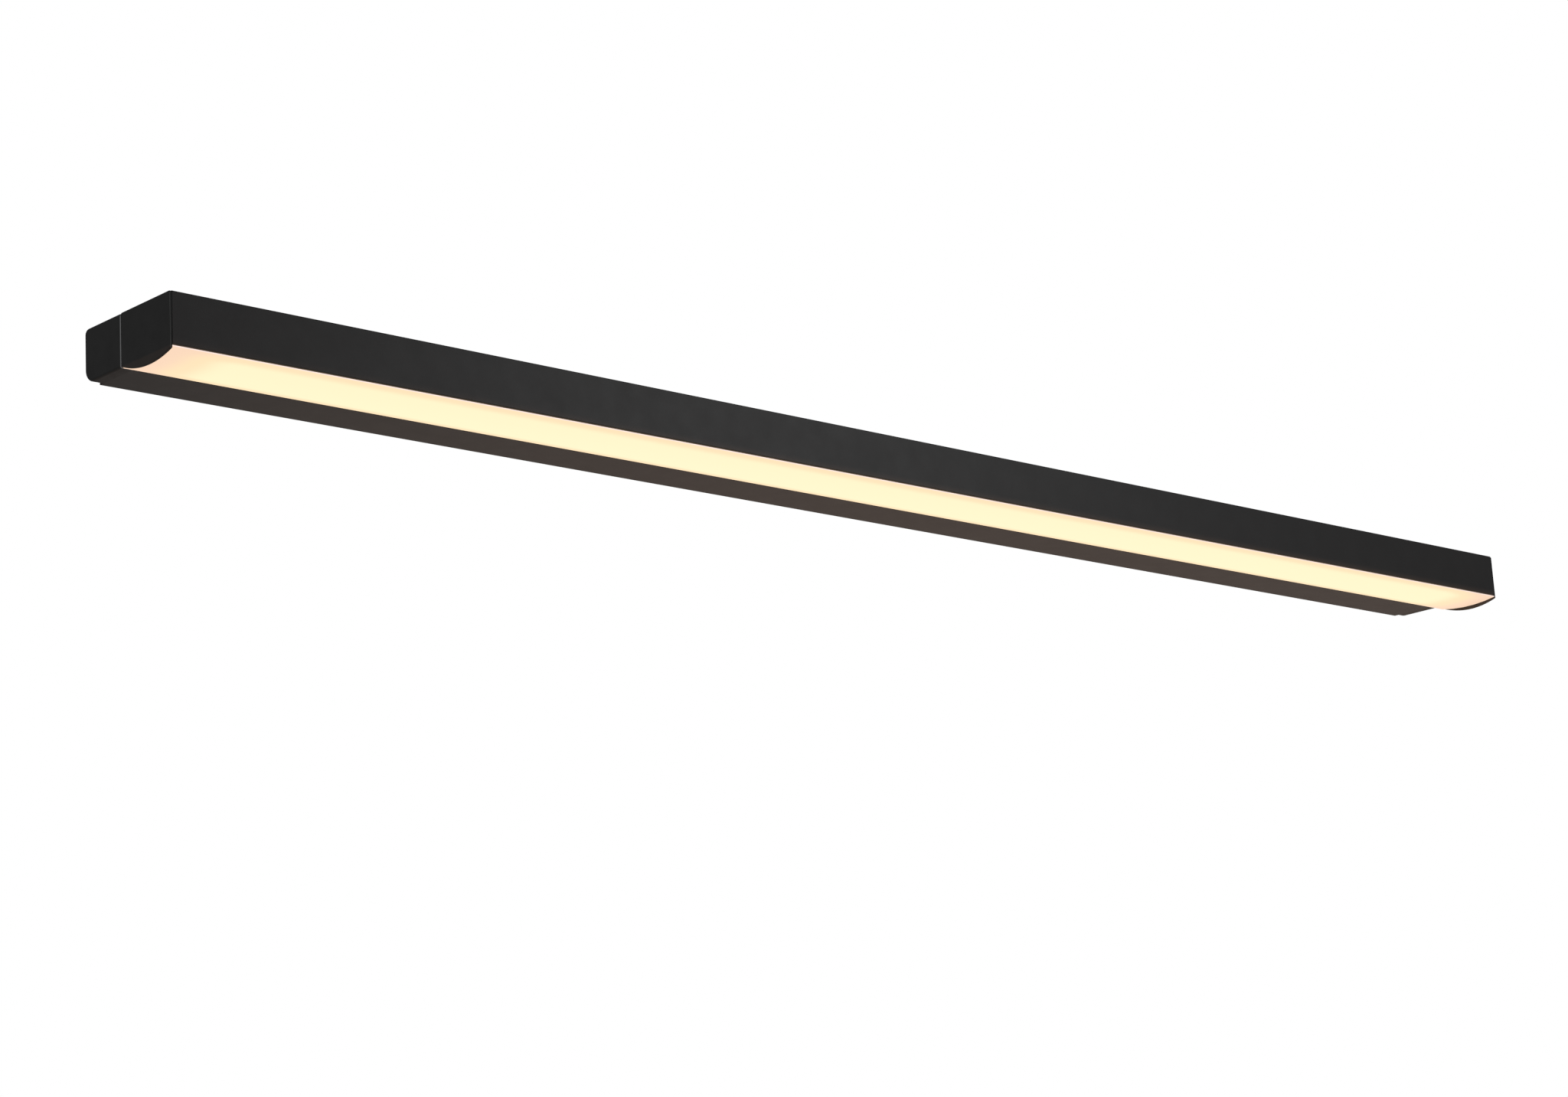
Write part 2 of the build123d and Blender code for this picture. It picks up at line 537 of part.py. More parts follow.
def head_spigot(clearance):
    """Hollow rectangle that fills the wire space above the tray, less a clearance."""
    half = HEAD_INNER_HALF - clearance
    z_limits = (TRAY_TOP_Z + clearance, TOP_Z - HEAD_WALL - clearance)
    spigot = rectangle((HEAD_MIDDLE_Y - half, HEAD_MIDDLE_Y + half), z_limits)
    inner_half = half - SPIGOT_WALL
    inner_z = (z_limits[0] + SPIGOT_WALL, z_limits[1] - SPIGOT_WALL)
    return spigot - rectangle((HEAD_MIDDLE_Y - inner_half, HEAD_MIDDLE_Y + inner_half), inner_z)


def make_cap_gasket(outer_x, inward):
    """Soft gasket between the head's extrusion and its end cap."""
    half = HEAD_DEPTH / 2 - GASKET_RECESS
    z_limits = (PROFILE_BOTTOM_Z + GASKET_RECESS, TOP_Z - GASKET_RECESS)
    ring = rectangle((HEAD_MIDDLE_Y - half, HEAD_MIDDLE_Y + half), z_limits)
    inner_y = (HEAD_MIDDLE_Y - HEAD_INNER_HALF, HEAD_MIDDLE_Y + HEAD_INNER_HALF)
    ring -= rectangle(inner_y, (TRAY_TOP_Z, TOP_Z - HEAD_WALL))
    ring -= rectangle(inner_y, (z_limits[0], TRAY_BOTTOM_Z))
    outside = outer_x + inward * HEAD_CAP_THICKNESS
    inside = outside + inward * GASKET_THICKNESS
    return along_bar(ring, min(outside, inside), max(outside, inside))


def make_diffuser():
    """Opal diffuser: a shallow convex lens with a clip leg inside each wall."""
    half = HEAD_DEPTH / 2 - DIFFUSER_SET_BACK
    front = HEAD_MIDDLE_Y - half
    rear = HEAD_MIDDLE_Y + half
    edge_z = UNDERSIDE_Z - DIFFUSER_EDGE
    arc = ThreePointArc((front, edge_z), (HEAD_MIDDLE_Y, UNDERSIDE_Z - DIFFUSER_DROP), (rear, edge_z))
    flat = Polyline((rear, edge_z), (rear, UNDERSIDE_Z), (front, UNDERSIDE_Z), (front, edge_z))
    section = make_face(Curve() + [arc, flat])
    section += mirrored_in_head((LEG_INNER_HALF, LEG_OUTER_HALF), (UNDERSIDE_Z, LEG_TOP_Z))
    barb_reach = HEAD_INNER_HALF - 2 * CLIP_CLEARANCE
    barb_z = (LEG_TOP_Z - BARB_HEIGHT, LEG_TOP_Z)
    section += mirrored_in_head((LEG_OUTER_HALF, barb_reach), barb_z)
    end_x = HEAD_LENGTH / 2 - HEAD_CAP_THICKNESS - DIFFUSER_END_CLEARANCE
    return along_bar(section, -end_x, end_x)


def make_diffuser_seals():
    """Silicone strips on the diffuser's edges, inside the two walls."""
    z_limits = (UNDERSIDE_Z, UNDERSIDE_Z + SEAL_HEIGHT)
    section = mirrored_in_head((LEG_OUTER_HALF, HEAD_INNER_HALF), z_limits)
    return along_bar(section, -PROFILE_HALF_LENGTH, PROFILE_HALF_LENGTH)


def make_reflector(side):
    """White strip beside the LED boards. `side` is -1 in front of them and +1 behind."""
    foot_top = TRAY_BOTTOM_Z
    foot_bottom = foot_top - REFLECTOR_THICKNESS
    inner = REFLECTOR_INNER_HALF
    outer = REFLECTOR_OUTER_HALF
    outline = Polyline(
        (HEAD_MIDDLE_Y + side * inner, foot_top),
        (HEAD_MIDDLE_Y + side * REFLECTOR_FOOT_HALF, foot_top),
        (HEAD_MIDDLE_Y + side * REFLECTOR_FOOT_HALF, foot_bottom),
        (HEAD_MIDDLE_Y + side * (inner + REFLECTOR_THICKNESS), foot_bottom),
        (HEAD_MIDDLE_Y + side * (outer + REFLECTOR_THICKNESS), REFLECTOR_BOTTOM_Z),
        (HEAD_MIDDLE_Y + side * outer, REFLECTOR_BOTTOM_Z),
        (HEAD_MIDDLE_Y + side * inner, foot_bottom),
        close=True,
    )
    end_x = PROFILE_HALF_LENGTH - REFLECTOR_END_CLEARANCE
    return along_bar(make_face(outline), -end_x, end_x)


# LED boards
def board_limits(side):
    """X limits of a board: `side` is -1 on the left and +1 on the right."""
    ends = (side * BOARD_INNER_X, side * (BOARD_INNER_X + BOARD_LENGTH))
    return (min(ends), max(ends))


def board_screw_xs():
    """X of every screw that holds a board."""
    return [side * (BOARD_INNER_X + step * CHIP_PITCH) for side in (-1, 1) for step in BOARD_SCREW_STEPS]


def board_y_limits():
    """Y limits of the boards and their pads."""
    return (HEAD_MIDDLE_Y - BOARD_WIDTH / 2, HEAD_MIDDLE_Y + BOARD_WIDTH / 2)


def with_board_holes(plate, z_limits):
    """Cut the clearance holes for the board screws."""
    for x in board_screw_xs():
        low = (x, HEAD_MIDDLE_Y, z_limits[0])
        high = (x, HEAD_MIDDLE_Y, z_limits[1])
        plate -= rod(low, high, M3_CLEARANCE_RADIUS)
    return plate


def make_led_board(side):
    """Aluminium-backed circuit board of one half of the head."""
    z_limits = (BOARD_BOTTOM_Z, BOARD_TOP_Z)
    return with_board_holes(block(board_limits(side), board_y_limits(), z_limits), z_limits)


def make_thermal_pads():
    """Thin pads that pass the boards' heat to the tray."""
    z_limits = (BOARD_TOP_Z, TRAY_BOTTOM_Z)
    pads = [block(board_limits(side), board_y_limits(), z_limits) for side in (-1, 1)]
    return as_group(with_board_holes(pad, z_limits) for pad in pads)


def make_led_chips():
    """A row of LEDs under each board."""
    chips = []
    for side in (-1, 1):
        for number in range(CHIPS_PER_BOARD):
            x = side * (BOARD_INNER_X + (number + 0.5) * CHIP_PITCH)
            z = BOARD_BOTTOM_Z - CHIP_HEIGHT / 2
            chips.append(Pos(x, HEAD_MIDDLE_Y, z) * Box(CHIP_LENGTH, CHIP_WIDTH, CHIP_HEIGHT))
    return as_group(chips)


def make_board_screws():
    """Screws from below through the boards into the tray."""
    length = TRAY_TOP_Z - BOARD_BOTTOM_Z
    seats = [(x, HEAD_MIDDLE_Y, BOARD_BOTTOM_Z) for x in board_screw_xs()]
    return as_group(
        pan_screw(seat, (0, 0, 1), length, M3_RADIUS, M3_HEAD_RADIUS, M3_HEAD_HEIGHT) for seat in seats
    )


def make_board_link():
    """Plug-in bridge that feeds the left board from the right one."""
    reach = BOARD_INNER_X + LINK_OVERLAP
    front = HEAD_MIDDLE_Y - BOARD_WIDTH / 2 + LINK_WIDTH / 2
    z_limits = (BOARD_BOTTOM_Z - LINK_HEIGHT, BOARD_BOTTOM_Z)
    return block((-reach, reach), (front, front + LINK_WIDTH), z_limits)


def make_board_connector():
    """Socket on the right board that takes the two LED wires."""
    margin = LED_WIRE_RADIUS + CONNECTOR_SIDE
    x_limits = (BOARD_INNER_X, BOARD_INNER_X + CONNECTOR_LENGTH)
    z_limits = (BOARD_BOTTOM_Z - CONNECTOR_HEIGHT, BOARD_BOTTOM_Z)
    y_limits = (LED_WIRE_YS[-1] - margin, LED_WIRE_YS[0] + margin)
    body = block(x_limits, y_limits, z_limits)
    hole_radius = LED_WIRE_RADIUS + WIRE_HOLE_CLEARANCE
    for y in LED_WIRE_YS:
        mouth = (x_limits[0], y, WIRE_DROP_Z)
        body -= rod(mouth, (sum(x_limits) / 2, y, WIRE_DROP_Z), hole_radius)
    return body


# Screws between the channel and the head
def make_joint_screws():
    """Screws from the channel through the head's back wall."""
    length = CHANNEL_WALL + HEAD_WALL + NUT_THICKNESS
    return as_group(
        pan_screw(place, (0, -1, 0), length, M4_RADIUS, M4_HEAD_RADIUS, M4_HEAD_HEIGHT)
        for place in joint_screw_places()
    )


def make_joint_nuts():
    """Square nuts on the joint screws, inside the head."""
    back = SEAM_Y - HEAD_WALL
    half = NUT_WIDTH / 2
    nuts = []
    for x, _, z in joint_screw_places():
        nut = block((x - half, x + half), (back - NUT_THICKNESS, back), (z - half, z + half))
        nuts.append(nut - rod((x, back, z), (x, back - NUT_THICKNESS, z), M4_RADIUS))
    return as_group(nuts)


# Mains terminals and cable clamp
def pole_zs():
    """Heights of the terminal block's poles: live, neutral and earth."""
    return [POLE_PITCH, 0.0, -POLE_PITCH]


def terminal_screw_places():
    """Top of each terminal screw."""
    y = CHANNEL_FLOOR_Y + TERMINAL_DEPTH - TERMINAL_SCREW_SINK
    offsets = (-TERMINAL_SCREW_PITCH / 2, TERMINAL_SCREW_PITCH / 2)
    return [(TERMINAL_X + offset, y, z) for offset in offsets for z in pole_zs()]


def make_terminal_block():
    """Three-pole terminal block on the channel's floor."""
    half_height = POLE_PITCH * POLE_COUNT / 2
    top_y = CHANNEL_FLOOR_Y + TERMINAL_DEPTH
    x_limits = (TERMINAL_X - TERMINAL_LENGTH / 2, TERMINAL_X + TERMINAL_LENGTH / 2)
    body = block(x_limits, (CHANNEL_FLOOR_Y, top_y), (-half_height, half_height))
    for z in pole_zs():
        body -= pole_rod(z, TERMINAL_LENGTH, SLEEVE_BORE)
        body -= pole_rod(z, SLEEVE_LENGTH, SLEEVE_RADIUS)
    for x, _, z in terminal_screw_places():
        body -= rod((x, WIRE_Y, z), (x, top_y, z), TERMINAL_SCREW_RADIUS)
    return body


def pole_rod(z, length, radius):
    """A rod along the bar through the middle of one pole."""
    return rod((TERMINAL_X - length / 2, WIRE_Y, z), (TERMINAL_X + length / 2, WIRE_Y, z), radius)


def make_terminal_sleeves():
    """Brass sleeves inside the terminal block, one for each pole."""
    sleeves = []
    for z in pole_zs():
        sleeve = pole_rod(z, SLEEVE_LENGTH, SLEEVE_RADIUS) - pole_rod(z, SLEEVE_LENGTH, SLEEVE_BORE)
        for x, y, screw_z in terminal_screw_places():
            if screw_z == z:
                sleeve -= rod((x, WIRE_Y, z), (x, y, z), TERMINAL_SCREW_RADIUS)
        sleeves.append(sleeve)
    return as_group(sleeves)


def make_terminal_screws():
    """Headless screws that clamp the wires in the sleeves."""
    screws = []
    for x, y, z in terminal_screw_places():
        tip = (x, WIRE_Y + MAINS_WIRE_RADIUS, z)
        slot = Pos(x, y, z) * Box(2 * TERMINAL_SCREW_RADIUS, 2 * SLOT_DEPTH, SLOT_WIDTH)
        screws.append(rod((x, y, z), tip, TERMINAL_SCREW_RADIUS) - slot)
    return as_group(screws)


def clamp_channel():
    """The round space in the clamp where the mains cable lies."""
    start = (CLAMP_X - CLAMP_LENGTH / 2, CLAMP_SPLIT_Y, 0)
    end = (CLAMP_X + CLAMP_LENGTH / 2, CLAMP_SPLIT_Y, 0)
    return rod(start, end, CLAMP_CABLE_RADIUS)


def make_clamp_half(y_limits):
    """One half of the cable clamp, with the cable's space and the screw holes."""
    x_limits = (CLAMP_X - CLAMP_LENGTH / 2, CLAMP_X + CLAMP_LENGTH / 2)
    half = block(x_limits, y_limits, (-CLAMP_HALF_SPAN, CLAMP_HALF_SPAN)) - clamp_channel()
    for x, _, z in clamp_screw_places():
        half -= rod((x, y_limits[0], z), (x, y_limits[1], z), M3_CLEARANCE_RADIUS)
    return half


def make_clamp_screws():
    """Screws through both halves of the clamp into the channel's floor."""
    length = CLAMP_TOP_Y - SEAM_Y
    return as_group(
        pan_screw(place, (0, -1, 0), length, M3_RADIUS, M3_HEAD_RADIUS, M3_HEAD_HEIGHT)
        for place in clamp_screw_places()
    )


# LED driver
def make_driver_case():
    """Moulded tray with screw ears, open towards the wall."""
    half = DRIVER_WIDTH / 2
    case = block((DRIVER_LEFT_X, DRIVER_RIGHT_X), (CHANNEL_FLOOR_Y, DRIVER_OPEN_Y), (-half, half))
    inner_x = (DRIVER_LEFT_X + DRIVER_WALL, DRIVER_RIGHT_X - DRIVER_WALL)
    inner_half = half - DRIVER_WALL
    case -= block(inner_x, (CHANNEL_FLOOR_Y + DRIVER_WALL, DRIVER_OPEN_Y), (-inner_half, inner_half))
    rail_y = (CHANNEL_FLOOR_Y + DRIVER_WALL, PCB_BOTTOM_Y)
    case += block(inner_x, rail_y, (inner_half - RAIL_WIDTH, inner_half))
    case += block(inner_x, rail_y, (-inner_half, RAIL_WIDTH - inner_half))
    ear_y = (CHANNEL_FLOOR_Y, CHANNEL_FLOOR_Y + EAR_THICKNESS)
    ear_z = (-EAR_WIDTH / 2, EAR_WIDTH / 2)
    case += block((DRIVER_LEFT_X - EAR_LENGTH, DRIVER_LEFT_X), ear_y, ear_z)
    case += block((DRIVER_RIGHT_X, DRIVER_RIGHT_X + EAR_LENGTH), ear_y, ear_z)
    for x, y, z in driver_screw_places():
        case -= rod((x, y, z), (x, CHANNEL_FLOOR_Y, z), M3_CLEARANCE_RADIUS)
    return case - driver_terminal_body("input") - driver_terminal_body("output")


def make_driver_cover():
    """Snap-on lid of the driver, with a rim inside the tray."""
    half = DRIVER_WIDTH / 2
    lid_y = (DRIVER_OPEN_Y, DRIVER_OPEN_Y + COVER_THICKNESS)
    cover = block((DRIVER_LEFT_X, DRIVER_RIGHT_X), lid_y, (-half, half))
    margin = DRIVER_WALL + COVER_CLEARANCE
    rim_x = (DRIVER_LEFT_X + margin, DRIVER_RIGHT_X - margin)
    rim_half = half - margin
    rim = block(rim_x, (DRIVER_OPEN_Y - COVER_RIM, DRIVER_OPEN_Y), (-rim_half, rim_half))
    core_x = (rim_x[0] + DRIVER_WALL, rim_x[1] - DRIVER_WALL)
    core_half = rim_half - DRIVER_WALL
    core = block(core_x, (DRIVER_OPEN_Y - COVER_RIM, DRIVER_OPEN_Y), (-core_half, core_half))
    return cover + rim - core


def driver_terminal_body(end):
    """Outer block of the driver's input or output terminal, flush with the tray's end."""
    if end == "input":
        x_limits = (DRIVER_RIGHT_X - DRIVER_TERMINAL_LENGTH, DRIVER_RIGHT_X)
    else:
        x_limits = (DRIVER_LEFT_X, DRIVER_LEFT_X + DRIVER_TERMINAL_LENGTH)
    half = DRIVER_TERMINAL_WIDTH / 2
    return block(x_limits, (PCB_TOP_Y, PCB_TOP_Y + DRIVER_TERMINAL_HEIGHT), (-half, half))


def make_driver_terminal(end, wire_radius):
    """Push-in terminal with a hole for each of its two wires."""
    body = driver_terminal_body(end)
    hole_radius = wire_radius + WIRE_HOLE_CLEARANCE
    mouth_x, way = (DRIVER_RIGHT_X, -1) if end == "input" else (DRIVER_LEFT_X, 1)
    for z in (DRIVER_POLE_Z, -DRIVER_POLE_Z):
        stop = (mouth_x + way * DRIVER_TERMINAL_LENGTH * 2 / 3, WIRE_Y, z)
        body -= rod((mouth_x, WIRE_Y, z), stop, hole_radius)
    return body


def make_driver_board():
    """Circuit board of the driver, on the tray's rails."""
    margin = DRIVER_WALL + PCB_CLEARANCE
    half = DRIVER_WIDTH / 2 - margin
    end_margin = DRIVER_WALL + PCB_END_CLEARANCE
    x_limits = (DRIVER_LEFT_X + end_margin, DRIVER_RIGHT_X - end_margin)
    return block(x_limits, (PCB_BOTTOM_Y, PCB_TOP_Y), (-half, half))


def on_driver_board(place, length, height, width, z_middle=0.0):
    """A block that stands on the driver's board, at a share of the driver's length from its middle."""
    x = DRIVER_X + place * DRIVER_LENGTH
    z_limits = (z_middle - width / 2, z_middle + width / 2)
    return block((x - length / 2, x + length / 2), (PCB_TOP_Y, PCB_TOP_Y + height), z_limits)


def make_transformer_core():
    """Ferrite core: a frame around the winding."""
    core = on_driver_board(TRANSFORMER_PLACE, TRANSFORMER_LENGTH, TRANSFORMER_HEIGHT, TRANSFORMER_WIDTH)
    return core - make_transformer_winding()


def make_transformer_winding():
    """The winding, a block through the core's window."""
    x = DRIVER_X + TRANSFORMER_PLACE * DRIVER_LENGTH
    half = WINDING_LENGTH / 2
    y_limits = (PCB_TOP_Y + CORE_LEG, PCB_TOP_Y + TRANSFORMER_HEIGHT - CORE_LEG)
    return block((x - half, x + half), y_limits, (-WINDING_WIDTH / 2, WINDING_WIDTH / 2))


def make_driver_capacitors():
    """Two electrolytic capacitors that lie along the board."""
    y = PCB_TOP_Y + CAPACITOR_RADIUS
    half = CAPACITOR_LENGTH / 2
    capacitors = []
    for place in CAPACITOR_PLACES:
        x = DRIVER_X + place * DRIVER_LENGTH
        can = rod((x - half, y, 0), (x + half, y, 0), CAPACITOR_RADIUS)
        capacitors.append(fillet(can.edges(), CAPACITOR_ROUNDING))
    return as_group(capacitors)


def make_interference_capacitor():
    """Box-shaped film capacitor beside the mains input."""
    return on_driver_board(*FILM_CAPACITOR, z_middle=SMALL_PART_Z)


def make_choke():
    """Ring choke on the mains side."""
    x = DRIVER_X + CHOKE_PLACE * DRIVER_LENGTH
    foot = (x, PCB_TOP_Y, 0)
    top = (x, PCB_TOP_Y + CHOKE_HEIGHT, 0)
    return rod(foot, top, CHOKE_RADIUS) - rod(foot, top, CHOKE_HOLE_RADIUS)


def make_driver_chips():
    """Rectifier, switching transistor and controller."""
    return as_group([
        on_driver_board(*RECTIFIER, z_middle=SMALL_PART_Z),
        on_driver_board(*TRANSISTOR, z_middle=-SMALL_PART_Z),
        on_driver_board(*CONTROLLER, z_middle=SMALL_PART_Z),
    ])


def make_driver_screws():
    """Screws through the driver's ears."""
    length = EAR_THICKNESS + CHANNEL_WALL
    return as_group(
        pan_screw(place, (0, -1, 0), length, M3_RADIUS, M3_HEAD_RADIUS, M3_HEAD_HEIGHT)
        for place in driver_screw_places()
    )


# Earth connection and wires
def make_earth_lug():
    """Ring lug on the channel's floor, with a barrel for the earth wire."""
    x, seat_y, z = earth_screw_place()
    ring = rod((x, CHANNEL_FLOOR_Y, z), (x, seat_y, z), LUG_RING_RADIUS)
    tongue_z = (z - LUG_BARREL_RADIUS, z + LUG_BARREL_RADIUS)
    tongue = block((x, LUG_BARREL_X), (CHANNEL_FLOOR_Y, seat_y), tongue_z)
    y = CHANNEL_FLOOR_Y + LUG_BARREL_RADIUS
    mouth = (LUG_MOUTH_X, y, z)
    barrel = rod((LUG_BARREL_X, y, z), mouth, LUG_BARREL_RADIUS)
    lug = ring + tongue + barrel - rod((x, CHANNEL_FLOOR_Y, z), (x, seat_y, z), M3_CLEARANCE_RADIUS)
    wire_end = (LUG_MOUTH_X - LUG_BARREL_LENGTH / 2, y, z)
    return lug - rod(wire_end, mouth, MAINS_WIRE_RADIUS + WIRE_HOLE_CLEARANCE)


def make_earth_screw():
    """Screw that bonds the earth lug to the channel."""
    length = LUG_THICKNESS + CHANNEL_WALL
    return pan_screw(earth_screw_place(), (0, -1, 0), length, M3_RADIUS, M3_HEAD_RADIUS, M3_HEAD_HEIGHT)


def make_mains_wire(pole_z, driver_z):
    """Live or neutral wire, from the terminal block to the driver."""
    start_x = TERMINAL_X - SLEEVE_LENGTH / 4
    bend_x = TERMINAL_X - TERMINAL_LENGTH / 2 - MAINS_WIRE_STRAIGHT
    end_x = DRIVER_RIGHT_X - DRIVER_TERMINAL_LENGTH / 2
    points = [
        (start_x, WIRE_Y, pole_z),
        (bend_x, WIRE_Y, pole_z),
        (DRIVER_RIGHT_X + MAINS_WIRE_STRAIGHT, WIRE_Y, driver_z),
        (end_x, WIRE_Y, driver_z),
    ]
    return wire(points, [MAINS_WIRE_BEND, MAINS_WIRE_BEND], MAINS_WIRE_RADIUS)


def make_earth_wire():
    """Earth wire, from the terminal block down to the lug."""
    start_x = TERMINAL_X - SLEEVE_LENGTH / 4
    edge_x = TERMINAL_X - TERMINAL_LENGTH / 2
    barrel_y = CHANNEL_FLOOR_Y + LUG_BARREL_RADIUS
    points = [
        (start_x, WIRE_Y, -POLE_PITCH),
        (edge_x - EARTH_WIRE_STRAIGHT, WIRE_Y, -POLE_PITCH),
        (LUG_MOUTH_X + EARTH_WIRE_STRAIGHT, barrel_y, -POLE_PITCH),
        (LUG_MOUTH_X - LUG_BARREL_LENGTH / 4, barrel_y, -POLE_PITCH),
    ]
    return wire(points, [EARTH_WIRE_BEND, EARTH_WIRE_BEND], MAINS_WIRE_RADIUS)


def make_led_wire(number, driver_z):
    """One of the two LED wires, from the driver through the head to the right board."""
    grommet_x = GROMMET_XS[number]
    head_y = LED_WIRE_YS[number]
    points = [
        (DRIVER_LEFT_X + DRIVER_TERMINAL_LENGTH / 2, WIRE_Y, driver_z),
        (DRIVER_LEFT_X - LED_WIRE_STRAIGHT, WIRE_Y, driver_z),
        (grommet_x, WIRE_Y, HEAD_WIRE_Z),
        (grommet_x, head_y, HEAD_WIRE_Z),
        (WIRE_DROP_X, head_y, HEAD_WIRE_Z),
        (WIRE_DROP_X, head_y, WIRE_DROP_Z),
        (BOARD_INNER_X + CONNECTOR_LENGTH / 4, head_y, WIRE_DROP_Z),
    ]
    return wire(points, LED_WIRE_BENDS, LED_WIRE_RADIUS)


def make_wire_grommet():
    """Rubber grommet where the LED wires pass from the channel into the head."""
    middle = sum(GROMMET_XS) / 2
    back_inside = SEAM_Y - HEAD_WALL
    flange_y = CHANNEL_FLOOR_Y + WIRE_GROMMET_FLANGE_THICKNESS
    grommet = wire_passage(middle, 0, (back_inside, CHANNEL_FLOOR_Y))
    grommet += wire_passage(middle, WIRE_GROMMET_FLANGE, (CHANNEL_FLOOR_Y, flange_y))
    for x in GROMMET_XS:
        far = (x, flange_y, HEAD_WIRE_Z)
        grommet -= rod((x, back_inside, HEAD_WIRE_Z), far, LED_WIRE_RADIUS + WIRE_HOLE_CLEARANCE)
    return grommet


def make_all():
    """Every piece of the bar, by node name."""
    pole_live, pole_neutral, _ = pole_zs()
    return {
        "wall_bracket": make_wall_bracket(),
        "cable_grommet": make_cable_grommet(),
        "fixing_screws": make_fixing_screws(),
        "rear_channel": make_rear_channel(),
        "rear_cap_left": make_rear_cap(HEAD_LEFT_X, 1),
        "rear_cap_right": make_rear_cap(REAR_RIGHT_X, -1),
        "head_profile": make_head_profile(),
        "led_tray": make_led_tray(),
        "head_cap_left": make_head_cap(HEAD_LEFT_X, 1),
        "head_cap_right": make_head_cap(HEAD_RIGHT_X, -1),
        "cap_gasket_left": make_cap_gasket(HEAD_LEFT_X, 1),
        "cap_gasket_right": make_cap_gasket(HEAD_RIGHT_X, -1),
        "diffuser": make_diffuser(),
        "diffuser_seals": make_diffuser_seals(),
        "reflector_front": make_reflector(-1),
        "reflector_rear": make_reflector(1),
        "led_board_left": make_led_board(-1),
        "led_board_right": make_led_board(1),
        "led_chips": make_led_chips(),
        "thermal_pads": make_thermal_pads(),
        "board_screws": make_board_screws(),
        "board_link": make_board_link(),
        "board_connector": make_board_connector(),
        "joint_screws": make_joint_screws(),
        "joint_nuts": make_joint_nuts(),
        "terminal_block": make_terminal_block(),
        "terminal_sleeves": make_terminal_sleeves(),
        "terminal_screws": make_terminal_screws(),
        "cable_clamp_base": make_clamp_half((CHANNEL_FLOOR_Y, CLAMP_SPLIT_Y)),
        "cable_clamp_saddle": make_clamp_half((CLAMP_SPLIT_Y, CLAMP_TOP_Y)),
        "clamp_screws": make_clamp_screws(),
        "driver_case": make_driver_case(),
        "driver_cover": make_driver_cover(),
        "driver_board": make_driver_board(),
        "driver_input_terminal": make_driver_terminal("input", MAINS_WIRE_RADIUS),
        "driver_output_terminal": make_driver_terminal("output", LED_WIRE_RADIUS),
        "transformer_core": make_transformer_core(),
        "transformer_winding": make_transformer_winding(),
        "driver_capacitors": make_driver_capacitors(),
        "interference_capacitor": make_interference_capacitor(),
        "choke": make_choke(),
        "driver_chips": make_driver_chips(),
        "driver_screws": make_driver_screws(),
        "earth_lug": make_earth_lug(),
        "earth_screw": make_earth_screw(),
        "earth_wire": make_earth_wire(),
        "live_wire": make_mains_wire(pole_live, DRIVER_POLE_Z),
        "neutral_wire": make_mains_wire(pole_neutral, -DRIVER_POLE_Z),
        "led_wire_positive": make_led_wire(0, DRIVER_POLE_Z),
        "led_wire_negative": make_led_wire(1, -DRIVER_POLE_Z),
        "wire_grommet": make_wire_grommet(),
    }


os.makedirs("parts", exist_ok=True)
for node, shape in make_all().items():
    export_step(shape, f"parts/{node}.step")
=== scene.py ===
"""Looks of the vanity light bar: materials, studio light and camera around its CAD frame.

Everything is in metres, in the part's own frame: X along the bar, +Y into the wall, +Z up.
"""

import json
import math

import bpy
from mathutils import Matrix, Vector


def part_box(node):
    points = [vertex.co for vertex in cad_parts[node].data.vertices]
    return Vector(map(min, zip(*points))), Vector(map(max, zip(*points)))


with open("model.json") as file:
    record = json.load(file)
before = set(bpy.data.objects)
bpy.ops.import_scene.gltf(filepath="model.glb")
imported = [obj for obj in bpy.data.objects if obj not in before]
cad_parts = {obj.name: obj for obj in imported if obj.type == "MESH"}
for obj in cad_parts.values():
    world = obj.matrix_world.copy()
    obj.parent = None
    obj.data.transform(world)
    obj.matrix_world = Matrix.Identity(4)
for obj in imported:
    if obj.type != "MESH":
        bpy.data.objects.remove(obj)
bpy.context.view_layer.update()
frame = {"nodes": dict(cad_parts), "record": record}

MILLIMETRE = 0.001

# Camera: below the bar and to its left, looking up along it
CAMERA_PLACE = Vector((-1.3688, -1.3773, -0.5054))
CAMERA_AZIMUTH = 43.61  # degrees from +Y towards +X
CAMERA_ELEVATION = 13.85
CAMERA_ROLL = -3.33
CAMERA_LENS = 82.13  # millimetres on a 36 mm wide sensor
SENSOR_WIDTH = 36.0

# Backdrop and floor
BACKDROP_SHOWN = 1.0  # radiance that the camera sees
BACKDROP_LIGHT = 0.18  # radiance that lights the bar
FLOOR_Z = -1.0
FLOOR_SIZE = 12.0
FLOOR_COLOUR = (0.80, 0.80, 0.79)

# Softboxes: place, target, width, height, power, colour
WHITE = (1.0, 1.0, 1.0)
WARM = (1.0, 0.72, 0.55)
SOFTBOXES = {
    "front_softbox": ((1.55, -1.95, 0.72), (0, -0.07, 0), 0.5, 0.8, 3.6, WHITE),
    "edge_softbox": ((-2.08, -1.09, 0.6), (-0.5, -0.03, 0), 0.2, 0.5, 8, WHITE),
    "warm_softbox": ((1.3, 1.2, -0.5), (0, -0.03, 0), 1.6, 0.5, 0.6, WARM),
}

# Noise stays near 0.5, so only this middle part of it is spread over a range of tones
NOISE_LOW = 0.3
NOISE_HIGH = 0.7
NOISE_DETAIL = 3.0

# How far a plain grained surface drifts from its own colour and roughness
PLAIN_DARKEST = 0.9
PLAIN_LIGHTEST = 1.08
PLAIN_GLOSS_DRIFT = 0.06

